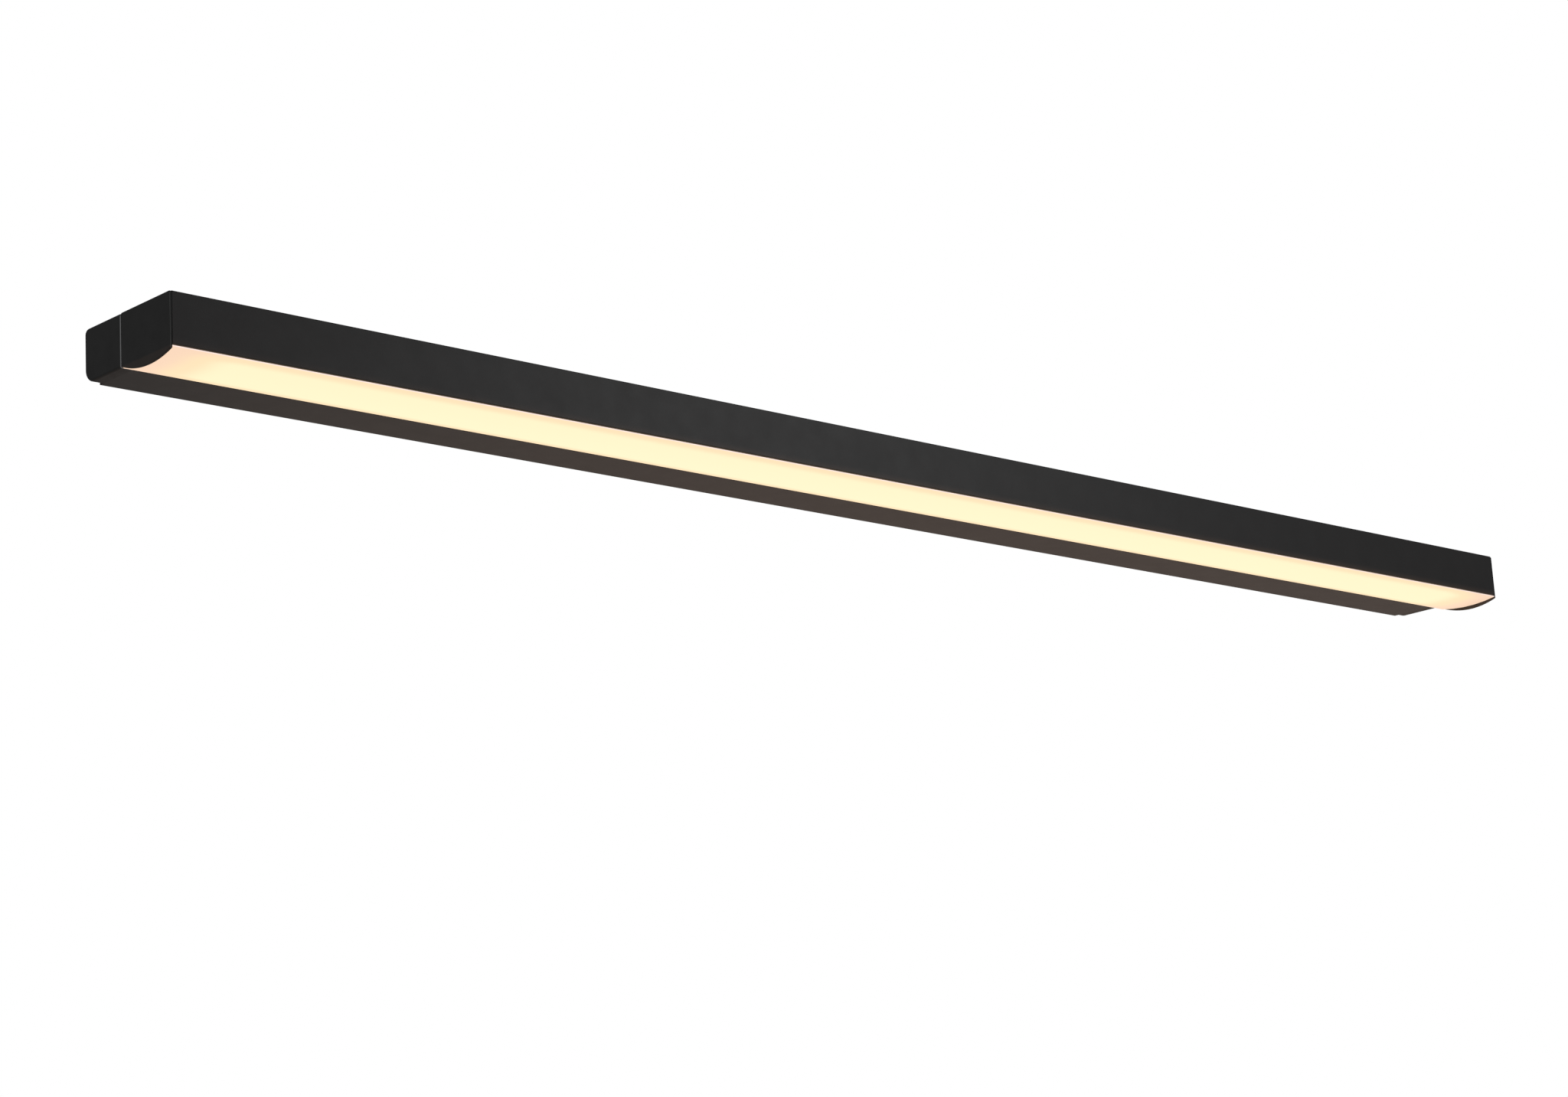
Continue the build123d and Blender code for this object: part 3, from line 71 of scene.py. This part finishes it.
# Glow of the diffuser
END_FADE = 0.044  # distance over which the glow falls off towards its ends
EDGE_FADE = 0.009  # and towards its long edges
EDGE_SHARE = 0.4  # how far a long edge is from the end colour, at 0, to the middle's, at 1
GLOW_END = (0.93, 0.66, 0.48)
GLOW_BETWEEN = (0.97, 0.75, 0.47)
GLOW_BETWEEN_PLACE = 0.45  # between the end colour, at 0, and the middle's, at 1
GLOW_MIDDLE = (1.0, 0.885, 0.57)
GLOW_LIP = (0.95, 0.76, 0.70)  # the thin vertical face at its front
LIP_DEPTH = 0.1 * MILLIMETRE
GLOW_STRENGTH = 0.97

# Painted warm spill of the diffuser: emission on the black surfaces near it, standing in for its light
SPILL_COLOUR = (1.0, 0.55, 0.36)
SPILL_STRENGTH = 0.017
SPILL_LEFT_SHARE = 0.35  # of that at the left end, rising to all of it at the middle
SPILL_HEIGHT = 5 * MILLIMETRE  # it fades out this far above the underside
CAP_SPILL_HEIGHT = 0.8 * MILLIMETRE  # and this far on the end caps

# Painted highlight: a paler band in the base colour along the rear caps' front edge, at the seam
SEAM_HIGHLIGHT_COLOUR = (0.42, 0.42, 0.43)
SEAM_HIGHLIGHT_WIDTH = 0.8 * MILLIMETRE


# Materials
def new_material(name, colour, roughness, metallic=0.0, specular=0.5):
    """A principled material with one colour and one roughness."""
    material = bpy.data.materials.new(name)
    material.use_nodes = True
    shader = material.node_tree.nodes["Principled BSDF"]
    shader.inputs["Base Color"].default_value = (*colour, 1.0)
    shader.inputs["Roughness"].default_value = roughness
    shader.inputs["Metallic"].default_value = metallic
    shader.inputs["Specular IOR Level"].default_value = specular
    return material


def shader_of(material):
    """The principled shader of a material."""
    return material.node_tree.nodes["Principled BSDF"]


def noise(material, cell, stretch=(1.0, 1.0, 1.0)):
    """Noise in object space with cells of about `cell` metres, longer along a stretched axis."""
    nodes = material.node_tree.nodes
    links = material.node_tree.links
    place = nodes.new("ShaderNodeTexCoord")
    mapping = nodes.new("ShaderNodeMapping")
    mapping.inputs["Scale"].default_value = [1.0 / factor for factor in stretch]
    texture = nodes.new("ShaderNodeTexNoise")
    texture.inputs["Scale"].default_value = 1.0 / cell
    texture.inputs["Detail"].default_value = NOISE_DETAIL
    links.new(place.outputs["Object"], mapping.inputs["Vector"])
    links.new(mapping.outputs["Vector"], texture.inputs["Vector"])
    return texture.outputs["Fac"]


def spread(material, value, low, high):
    """Stretch a noise value, which stays near 0.5, over low to high."""
    nodes = material.node_tree.nodes
    remap = nodes.new("ShaderNodeMapRange")
    remap.inputs["From Min"].default_value = NOISE_LOW
    remap.inputs["From Max"].default_value = NOISE_HIGH
    remap.inputs["To Min"].default_value = low
    remap.inputs["To Max"].default_value = high
    material.node_tree.links.new(value, remap.inputs["Value"])
    return remap.outputs["Result"]


def object_axes(material):
    """Object-space coordinates, split into X, Y and Z."""
    nodes = material.node_tree.nodes
    place = nodes.new("ShaderNodeTexCoord")
    axes = nodes.new("ShaderNodeSeparateXYZ")
    material.node_tree.links.new(place.outputs["Object"], axes.inputs["Vector"])
    return axes.outputs


def fade(material, value, start, end, interpolation="SMOOTHSTEP", to=(0.0, 1.0)):
    """`to[0]` where the value is at `start`, rising to `to[1]` at `end`."""
    remap = material.node_tree.nodes.new("ShaderNodeMapRange")
    remap.interpolation_type = interpolation
    remap.inputs["From Min"].default_value = start
    remap.inputs["From Max"].default_value = end
    remap.inputs["To Min"].default_value = to[0]
    remap.inputs["To Max"].default_value = to[1]
    material.node_tree.links.new(value, remap.inputs["Value"])
    return remap.outputs["Result"]


def multiply(material, first, second):
    """The product of two values. `second` may be a number."""
    product = material.node_tree.nodes.new("ShaderNodeMath")
    product.operation = "MULTIPLY"
    material.node_tree.links.new(first, product.inputs[0])
    if isinstance(second, float):
        product.inputs[1].default_value = second
    else:
        material.node_tree.links.new(second, product.inputs[1])
    return product.outputs["Value"]


def edge_distance(material, coordinate, middle, half, width, to=(0.0, 1.0)):
    """`to[0]` at the ends of middle ± half, rising to `to[1]` over `width` metres."""
    nodes = material.node_tree.nodes
    links = material.node_tree.links
    shift = nodes.new("ShaderNodeMath")
    shift.operation = "SUBTRACT"
    shift.inputs[1].default_value = middle
    size = nodes.new("ShaderNodeMath")
    size.operation = "ABSOLUTE"
    links.new(coordinate, shift.inputs[0])
    links.new(shift.outputs["Value"], size.inputs[0])
    return fade(material, size.outputs["Value"], half, half - width, to=to)


def add_mottle(material, cell, dark, light, stretch=(1.0, 1.0, 1.0)):
    """Let the base colour drift between two tones in soft patches."""
    nodes = material.node_tree.nodes
    links = material.node_tree.links
    ramp = nodes.new("ShaderNodeValToRGB")
    ramp.color_ramp.elements[0].position = NOISE_LOW
    ramp.color_ramp.elements[0].color = (*dark, 1.0)
    ramp.color_ramp.elements[1].position = NOISE_HIGH
    ramp.color_ramp.elements[1].color = (*light, 1.0)
    links.new(noise(material, cell, stretch=stretch), ramp.inputs["Fac"])
    links.new(ramp.outputs["Color"], shader_of(material).inputs["Base Color"])


def add_uneven_gloss(material, cell, low, high, stretch=(1.0, 1.0, 1.0)):
    """Let the roughness drift between two values."""
    value = spread(material, noise(material, cell, stretch=stretch), low, high)
    material.node_tree.links.new(value, shader_of(material).inputs["Roughness"])


def add_grain(material, cell, depth, stretch=(1.0, 1.0, 1.0)):
    """Fine bumps of about `cell` metres across and `depth` metres high."""
    nodes = material.node_tree.nodes
    links = material.node_tree.links
    bump = nodes.new("ShaderNodeBump")
    bump.inputs["Distance"].default_value = depth
    links.new(noise(material, cell, stretch=stretch), bump.inputs["Height"])
    links.new(bump.outputs["Normal"], shader_of(material).inputs["Normal"])


def add_painted_spill(material, height):
    """A faint warm glow painted as emission on the faces beside the diffuser, standing in for its
    light, which fades out with height.
    """
    low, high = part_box("rear_channel")
    axes = object_axes(material)
    upwards = fade(material, axes["Z"], low[2] + height, low[2])
    along = fade(material, axes["X"], low[0], (low[0] + high[0]) / 2, to=(SPILL_LEFT_SHARE, 1.0))
    strength = multiply(material, multiply(material, upwards, along), SPILL_STRENGTH)
    shader = shader_of(material)
    shader.inputs["Emission Color"].default_value = (*SPILL_COLOUR, 1.0)
    material.node_tree.links.new(strength, shader.inputs["Emission Strength"])


def add_painted_seam_highlight(material):
    """A narrow paler band painted along the rear caps' front edge: a painted highlight of its rounded
    edge at the seam.
    """
    nodes = material.node_tree.nodes
    links = material.node_tree.links
    low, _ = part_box("rear_cap_left")
    depth = object_axes(material)["Y"]
    in_front = fade(material, depth, low[1] + SEAM_HIGHLIGHT_WIDTH, low[1], "LINEAR")
    behind_seam = nodes.new("ShaderNodeMath")
    behind_seam.operation = "GREATER_THAN"
    behind_seam.inputs[1].default_value = low[1]
    links.new(depth, behind_seam.inputs[0])
    mask = multiply(material, in_front, behind_seam.outputs["Value"])
    blend = nodes.new("ShaderNodeMix")
    blend.data_type = "RGBA"
    base = shader_of(material).inputs["Base Color"]
    links.new(mask, blend.inputs["Factor"])
    links.new(base.links[0].from_socket, blend.inputs["A"])
    blend.inputs["B"].default_value = (*SEAM_HIGHLIGHT_COLOUR, 1.0)
    links.new(blend.outputs["Result"], base)


def powder_coat():
    """Fine-textured matt black powder coat on the two extrusions."""
    material = new_material("black_powder_coat", (0.019, 0.017, 0.017), 0.39, specular=0.45)
    add_mottle(material, 14 * MILLIMETRE, (0.0165, 0.0145, 0.0145), (0.0215, 0.0195, 0.0195))
    add_uneven_gloss(material, 11 * MILLIMETRE, 0.38, 0.405)
    add_grain(material, 0.35 * MILLIMETRE, 0.02 * MILLIMETRE)
    # painted warm glow of the diffuser on the faces near the underside
    add_painted_spill(material, SPILL_HEIGHT)
    return material


def moulded_black():
    """Matt black plastic of the end caps, a touch darker and duller than the coat."""
    material = new_material("black_moulded_plastic", (0.016, 0.016, 0.016), 0.45, specular=0.4)
    add_mottle(material, 10 * MILLIMETRE, (0.014, 0.014, 0.014), (0.018, 0.018, 0.018))
    add_uneven_gloss(material, 6 * MILLIMETRE, 0.40, 0.50)
    add_grain(material, 0.2 * MILLIMETRE, 0.01 * MILLIMETRE)
    # painted highlight along the rear caps' front edge, at the seam
    add_painted_seam_highlight(material)
    # painted warm glow of the diffuser along the caps' lower edge
    add_painted_spill(material, CAP_SPILL_HEIGHT)
    return material


def opal_acrylic():
    """Opal diffuser, lit from inside: peach at its ends, cream in the middle, with a pale front lip."""
    material = new_material("opal_acrylic", (0.30, 0.28, 0.24), 0.35, specular=0.2)
    nodes = material.node_tree.nodes
    links = material.node_tree.links
    low, high = (Vector(corner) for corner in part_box("diffuser"))
    middle = (low + high) / 2
    half = (high - low) / 2
    axes = object_axes(material)
    along = edge_distance(material, axes["X"], middle.x, half.x, END_FADE)
    across = edge_distance(material, axes["Y"], middle.y, half.y, EDGE_FADE, to=(EDGE_SHARE, 1.0))
    ramp = nodes.new("ShaderNodeValToRGB")
    ramp.color_ramp.interpolation = "EASE"
    ramp.color_ramp.elements[0].color = (*GLOW_END, 1.0)
    ramp.color_ramp.elements[1].color = (*GLOW_MIDDLE, 1.0)
    between = ramp.color_ramp.elements.new(GLOW_BETWEEN_PLACE)
    between.color = (*GLOW_BETWEEN, 1.0)
    links.new(multiply(material, along, across), ramp.inputs["Fac"])
    lip = nodes.new("ShaderNodeMix")
    lip.data_type = "RGBA"
    links.new(fade(material, axes["Y"], low.y + LIP_DEPTH, low.y, "LINEAR"), lip.inputs["Factor"])
    links.new(ramp.outputs["Color"], lip.inputs["A"])
    lip.inputs["B"].default_value = (*GLOW_LIP, 1.0)
    links.new(lip.outputs["Result"], shader_of(material).inputs["Emission Color"])
    shader_of(material).inputs["Emission Strength"].default_value = GLOW_STRENGTH
    add_grain(material, 0.5 * MILLIMETRE, 0.01 * MILLIMETRE)
    return material


def plain_grained(name, colour, roughness, metallic):
    """A moulded or plated surface with slight patches, uneven gloss and a fine grain."""
    material = new_material(name, colour, roughness, metallic)
    dark = [channel * PLAIN_DARKEST for channel in colour]
    light = [min(1.0, channel * PLAIN_LIGHTEST) for channel in colour]
    add_mottle(material, 8 * MILLIMETRE, dark, light)
    smooth = roughness - PLAIN_GLOSS_DRIFT
    rough = roughness + PLAIN_GLOSS_DRIFT
    add_uneven_gloss(material, 5 * MILLIMETRE, smooth, rough)
    add_grain(material, 0.4 * MILLIMETRE, 0.01 * MILLIMETRE)
    return material


def galvanised_steel():
    """Rolled zinc-plated sheet: streaks along the bar."""
    material = new_material("galvanised_steel", (0.60, 0.61, 0.62), 0.35, metallic=1.0)
    streaks = (30.0, 1.0, 1.0)
    add_mottle(material, 1.5 * MILLIMETRE, (0.52, 0.53, 0.54), (0.66, 0.67, 0.69), stretch=streaks)
    add_uneven_gloss(material, 1.0 * MILLIMETRE, 0.28, 0.42, stretch=streaks)
    add_grain(material, 0.5 * MILLIMETRE, 0.01 * MILLIMETRE, stretch=streaks)
    return material


def mill_aluminium():
    """Plain extruded aluminium: fine draw lines along the bar."""
    material = new_material("mill_aluminium", (0.74, 0.75, 0.76), 0.35, metallic=1.0)
    lines = (60.0, 1.0, 1.0)
    add_mottle(material, 0.8 * MILLIMETRE, (0.68, 0.69, 0.70), (0.80, 0.81, 0.82), stretch=lines)
    add_uneven_gloss(material, 0.8 * MILLIMETRE, 0.30, 0.42, stretch=lines)
    add_grain(material, 0.4 * MILLIMETRE, 0.01 * MILLIMETRE, stretch=lines)
    return material


# Slots whose material is a grained plain surface: colour, roughness, metallic
PLAIN_SLOTS = {
    "plated_screws": ((0.66, 0.66, 0.63), 0.28, 1.0),
    "black_rubber": ((0.014, 0.014, 0.014), 0.7, 0.0),
    "clear_silicone": ((0.70, 0.70, 0.68), 0.4, 0.0),
    "white_reflector": ((0.86, 0.86, 0.85), 0.35, 0.0),
    "white_solder_mask": ((0.82, 0.82, 0.80), 0.3, 0.0),
    "led_phosphor": ((0.88, 0.66, 0.16), 0.4, 0.0),
    "grey_thermal_pad": ((0.16, 0.18, 0.21), 0.8, 0.0),
    "brass": ((0.70, 0.48, 0.18), 0.3, 1.0),
    "white_nylon": ((0.78, 0.78, 0.74), 0.45, 0.0),
    "driver_housing_plastic": ((0.76, 0.76, 0.75), 0.5, 0.0),
    "green_circuit_board": ((0.01, 0.11, 0.03), 0.3, 0.0),
    "green_terminal_plastic": ((0.02, 0.22, 0.07), 0.45, 0.0),
    "ferrite": ((0.02, 0.02, 0.022), 0.6, 0.0),
    "copper_winding": ((0.55, 0.18, 0.06), 0.3, 1.0),
    "capacitor_sleeve": ((0.01, 0.02, 0.04), 0.3, 0.0),
    "film_capacitor_case": ((0.65, 0.45, 0.02), 0.35, 0.0),
    "chip_epoxy": ((0.01, 0.01, 0.011), 0.55, 0.0),
    "tinned_copper": ((0.70, 0.69, 0.67), 0.25, 1.0),
    "earth_insulation": ((0.10, 0.30, 0.02), 0.4, 0.0),
    "brown_insulation": ((0.08, 0.025, 0.01), 0.4, 0.0),
    "blue_insulation": ((0.01, 0.06, 0.35), 0.4, 0.0),
    "red_insulation": ((0.40, 0.01, 0.01), 0.4, 0.0),
    "black_insulation": ((0.012, 0.012, 0.012), 0.4, 0.0),
}


def all_materials():
    """Every finish of the bar, by the record's material slot."""
    materials = {
        "black_powder_coat": powder_coat(),
        "black_moulded_plastic": moulded_black(),
        "opal_acrylic": opal_acrylic(),
        "galvanised_steel": galvanised_steel(),
        "mill_aluminium": mill_aluminium(),
    }
    for slot, (colour, roughness, metallic) in PLAIN_SLOTS.items():
        materials[slot] = plain_grained(slot, colour, roughness, metallic)
    return materials


def dress_nodes():
    """Give each CAD node the material that its slot in the record names."""
    materials = all_materials()
    for part in frame["record"]["subparts"]:
        node = frame["nodes"][part["node"]]
        for slot in node.material_slots:
            slot.material = materials[part["material_slot"]]


# Studio
def add_floor():
    """Pale floor, well below the bar and the camera."""
    bpy.ops.mesh.primitive_plane_add(size=FLOOR_SIZE, location=(0, 0, FLOOR_Z))
    floor = bpy.context.object
    floor.name = "floor"
    floor.data.materials.append(new_material("floor", FLOOR_COLOUR, 0.8, specular=0.2))


def add_backdrop():
    """White surroundings. What the camera sees of them is brighter than what lights the bar."""
    world = bpy.data.worlds.new("studio")
    bpy.context.scene.world = world
    world.use_nodes = True
    nodes = world.node_tree.nodes
    links = world.node_tree.links
    background = nodes["Background"]
    background.inputs["Color"].default_value = (1.0, 1.0, 1.0, 1.0)
    ray = nodes.new("ShaderNodeLightPath")
    strength = nodes.new("ShaderNodeMapRange")
    strength.inputs["To Min"].default_value = BACKDROP_LIGHT
    strength.inputs["To Max"].default_value = BACKDROP_SHOWN
    links.new(ray.outputs["Is Camera Ray"], strength.inputs["Value"])
    links.new(strength.outputs["Result"], background.inputs["Strength"])


def add_softbox(name, place, target, width, height, power, colour):
    """A rectangular area light at `place`, aimed at `target`."""
    light = bpy.data.lights.new(name, "AREA")
    light.shape = "RECTANGLE"
    light.size = width
    light.size_y = height
    light.energy = power
    light.color = colour
    softbox = bpy.data.objects.new(name, light)
    aim = Vector(target) - Vector(place)
    softbox.location = place
    softbox.rotation_euler = aim.to_track_quat("-Z", "Y").to_euler()
    bpy.context.collection.objects.link(softbox)


def add_lights():
    """A sheen along the front, an edge light on the left and a warm glow from behind and below."""
    for name, settings in SOFTBOXES.items():
        add_softbox(name, *settings)


def add_camera():
    """The photograph's viewpoint."""
    azimuth = math.radians(CAMERA_AZIMUTH)
    elevation = math.radians(CAMERA_ELEVATION)
    ahead = Vector((
        math.sin(azimuth) * math.cos(elevation),
        math.cos(azimuth) * math.cos(elevation),
        math.sin(elevation),
    ))
    data = bpy.data.cameras.new("camera")
    data.lens = CAMERA_LENS
    data.sensor_width = SENSOR_WIDTH
    camera = bpy.data.objects.new("camera", data)
    level = ahead.to_track_quat("-Z", "Y").to_matrix().to_4x4()
    roll = Matrix.Rotation(math.radians(CAMERA_ROLL), 4, "Z")
    camera.matrix_world = Matrix.Translation(CAMERA_PLACE) @ level @ roll
    bpy.context.collection.objects.link(camera)
    bpy.context.scene.camera = camera


def set_tones():
    """Plain tones, so that white surroundings stay white."""
    settings = bpy.context.scene.view_settings
    settings.view_transform = "Standard"
    settings.look = "None"


dress_nodes()
add_floor()
add_backdrop()
add_lights()
add_camera()
set_tones()
